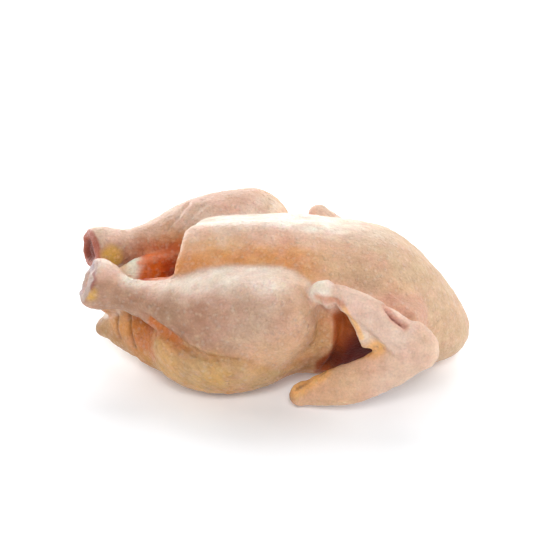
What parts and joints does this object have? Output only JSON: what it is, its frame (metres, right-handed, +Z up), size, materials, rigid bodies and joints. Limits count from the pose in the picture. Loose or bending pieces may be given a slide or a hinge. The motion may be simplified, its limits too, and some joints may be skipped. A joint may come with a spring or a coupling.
{
  "type": "whole raw chicken",
  "caption": "Whole raw chicken lying on its back, plucked and cleaned, with legs, folded wings and an open body cavity at the tail end.",
  "frame": {"origin": "under the middle of the bird, on the surface it lies on", "axes": "+X from the tail end towards the neck end, +Z up through the breast, -Y the side that the picture shows"},
  "size_m": [0.284, 0.1788, 0.1128],
  "materials": {
    "skin": "moist, softly shining raw skin with follicles"
  },
  "bodies": {
    "root": {"chicken": "skin"}
  },
  "joints": []
}
